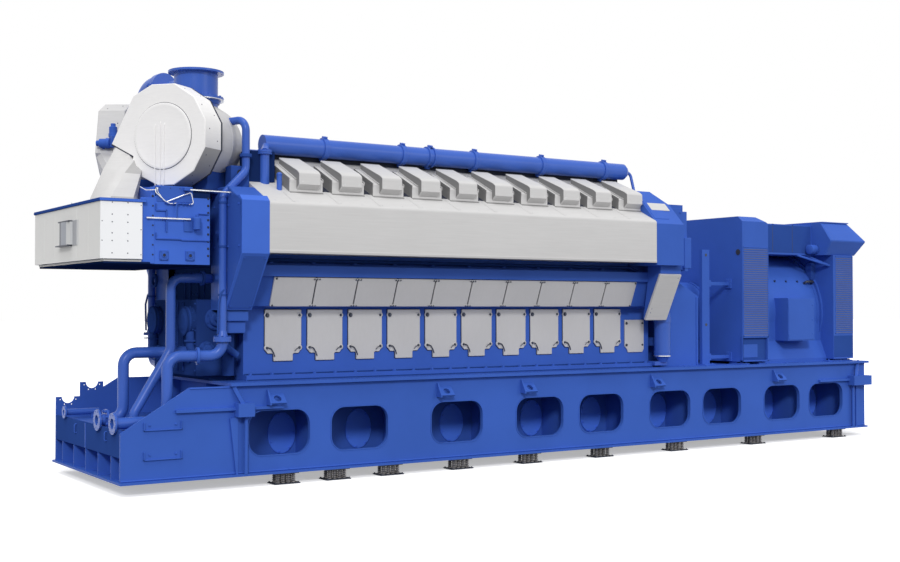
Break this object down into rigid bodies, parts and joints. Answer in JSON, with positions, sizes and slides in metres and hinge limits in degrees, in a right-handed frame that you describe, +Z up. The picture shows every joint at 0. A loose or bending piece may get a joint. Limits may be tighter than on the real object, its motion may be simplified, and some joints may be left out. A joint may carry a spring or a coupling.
{
  "type": "gas engine generator set",
  "caption": "V-form gas engine and generator on one welded base frame with spring pads, turbochargers over a cooler box, insulated hoods, louvred air boxes.",
  "frame": {"origin": "on the floor under the middle of the set's outer box", "axes": "+X from the turbocharger end to the generator, +Z up, +Y towards the side away from the viewer"},
  "size_m": [12.569, 3.168, 4.9149],
  "materials": {
    "blue_paint": "gloss",
    "white_paint": "satin",
    "insulation_casing": "satin",
    "bare_metal": "satin",
    "spring_pad": "satin"
  },
  "bodies": {
    "root": {"base_side_near": "blue_paint", "base_side_far": "blue_paint", "base_deck": "blue_paint", "base_bottom_flange": "blue_paint", "base_cross_webs": "blue_paint", "base_end_plate": "blue_paint", "base_tank": "blue_paint", "pipe_end_plate": "blue_paint", "lifting_lugs_near": "blue_paint", "lifting_lugs_far": "blue_paint", "spring_pads_near": "spring_pad", "spring_pads_far": "spring_pad", "oil_sump": "blue_paint", "crankcase": "blue_paint", "crankcase_covers_near": "bare_metal", "crankcase_covers_far": "bare_metal", "camshaft_covers_near": "bare_metal", "camshaft_covers_far": "bare_metal", "hot_box_near": "insulation_casing", "hot_box_far": "insulation_casing", "rocker_hoods_near": "insulation_casing", "rocker_hoods_far": "insulation_casing", "exhaust_box": "insulation_casing", "gas_pipes": "blue_paint", "free_end_covers": "blue_paint", "drive_end_covers": "blue_paint", "gear_housing": "blue_paint", "flywheel_housing": "blue_paint", "oil_filters": "blue_paint", "pump_case": "blue_paint", "turbo_near": "insulation_casing", "turbo_far": "insulation_casing", "turbo_stand": "blue_paint", "scroll_ducts": "insulation_casing", "exhaust_outlet": "blue_paint", "exhaust_cross_duct": "blue_paint", "air_duct_box": "white_paint", "charge_cooler": "blue_paint", "water_pipes": "blue_paint", "vent_pipes": "blue_paint", "coupling_guard": "blue_paint", "generator_stator": "blue_paint", "generator_air_boxes": "blue_paint", "generator_roof": "blue_paint", "terminal_boxes": "blue_paint"}
  },
  "joints": []
}
